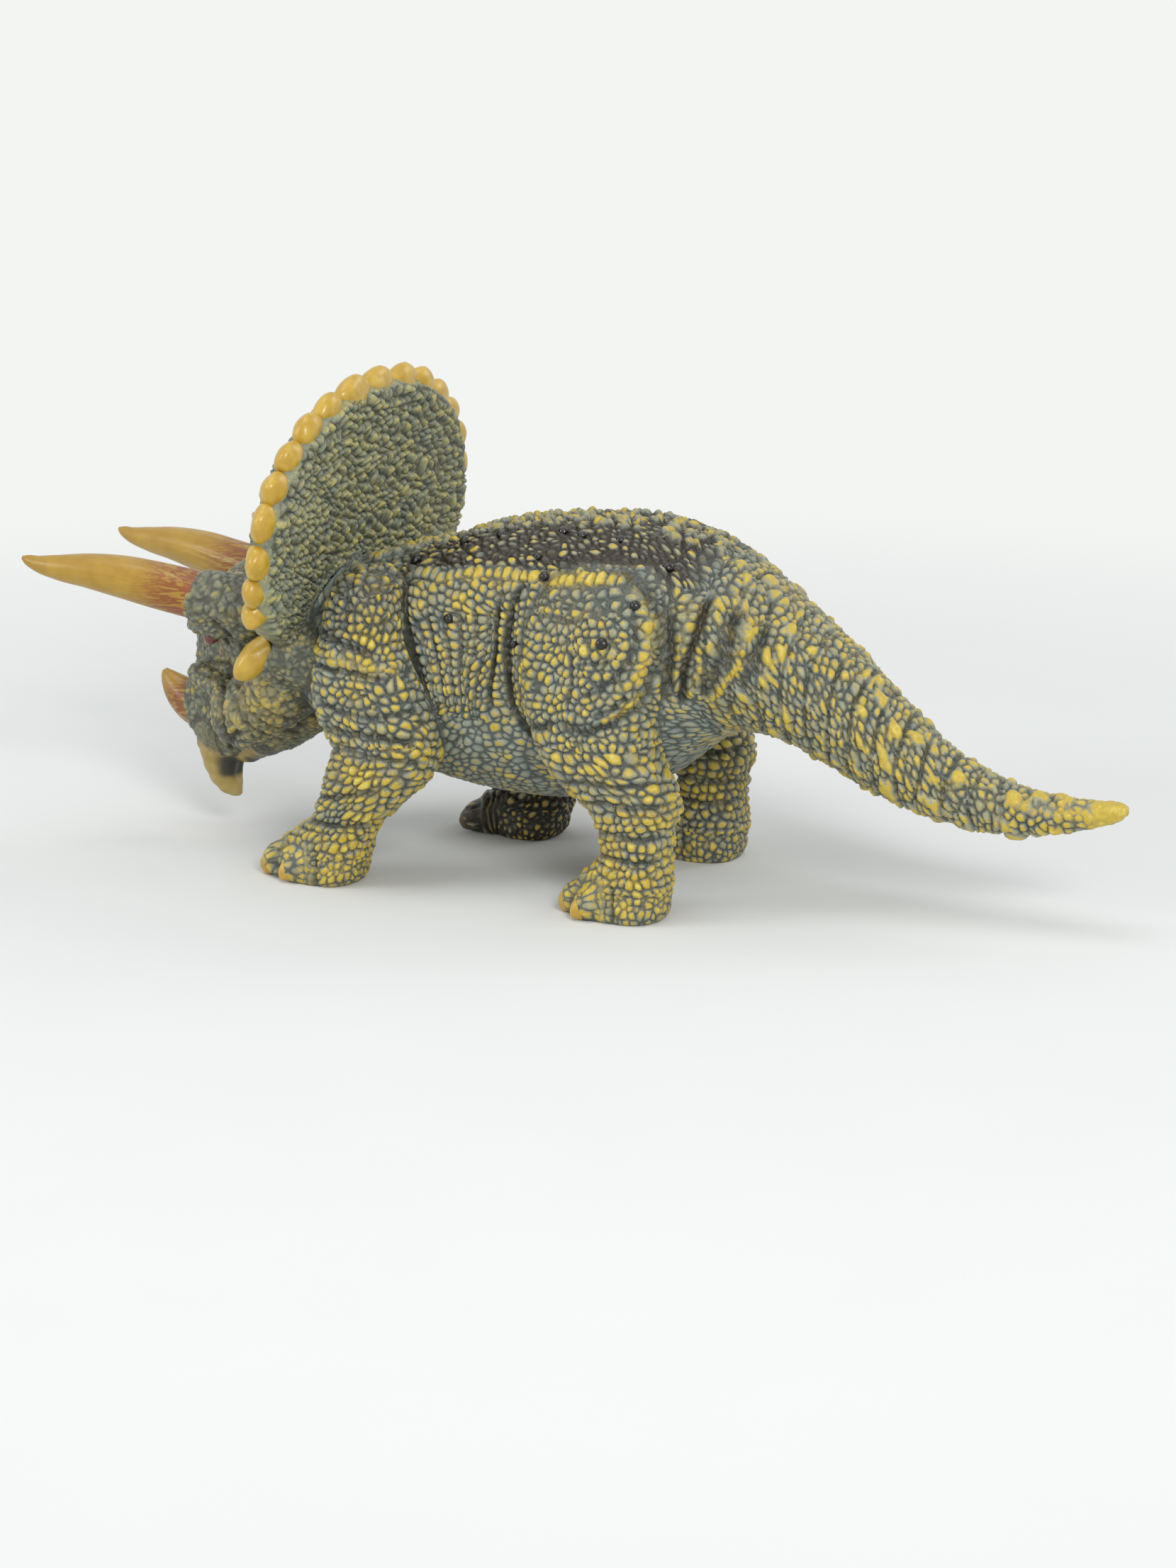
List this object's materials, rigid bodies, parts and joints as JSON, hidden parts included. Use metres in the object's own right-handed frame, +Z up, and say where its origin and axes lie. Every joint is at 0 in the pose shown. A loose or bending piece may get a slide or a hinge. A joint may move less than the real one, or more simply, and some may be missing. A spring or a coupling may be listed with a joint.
{
  "type": "toy dinosaur figure",
  "caption": "Painted vinyl figure of a walking horned dinosaur with a studded neck frill, cast in plugged and glued pieces; stands on flat soles.",
  "frame": {"origin": "on the ground under the middle of the figure's length and width", "axes": "+X from the snout to the tail tip, +Y to the animal's right side, +Z up"},
  "size_m": [0.1505, 0.0596, 0.0651],
  "materials": {
    "skin": "pebbled vinyl skin, slate green base with ochre dry-brushed scales and dark washes, satin",
    "frill": "grained vinyl plate, slate green with ochre dry-brushing and yellow rim studs, satin",
    "horn": "smooth ochre horn with reddish brown streaks at the root, semi-gloss"
  },
  "bodies": {
    "root": {"trunk": "skin", "tail": "skin", "head": "skin", "lower_jaw": "skin", "frill": "frill", "brow_horn_left": "horn", "brow_horn_right": "horn", "nose_horn": "horn", "front_leg_left": "skin", "front_leg_right": "skin", "hind_leg_left": "skin", "hind_leg_right": "skin"}
  },
  "joints": []
}
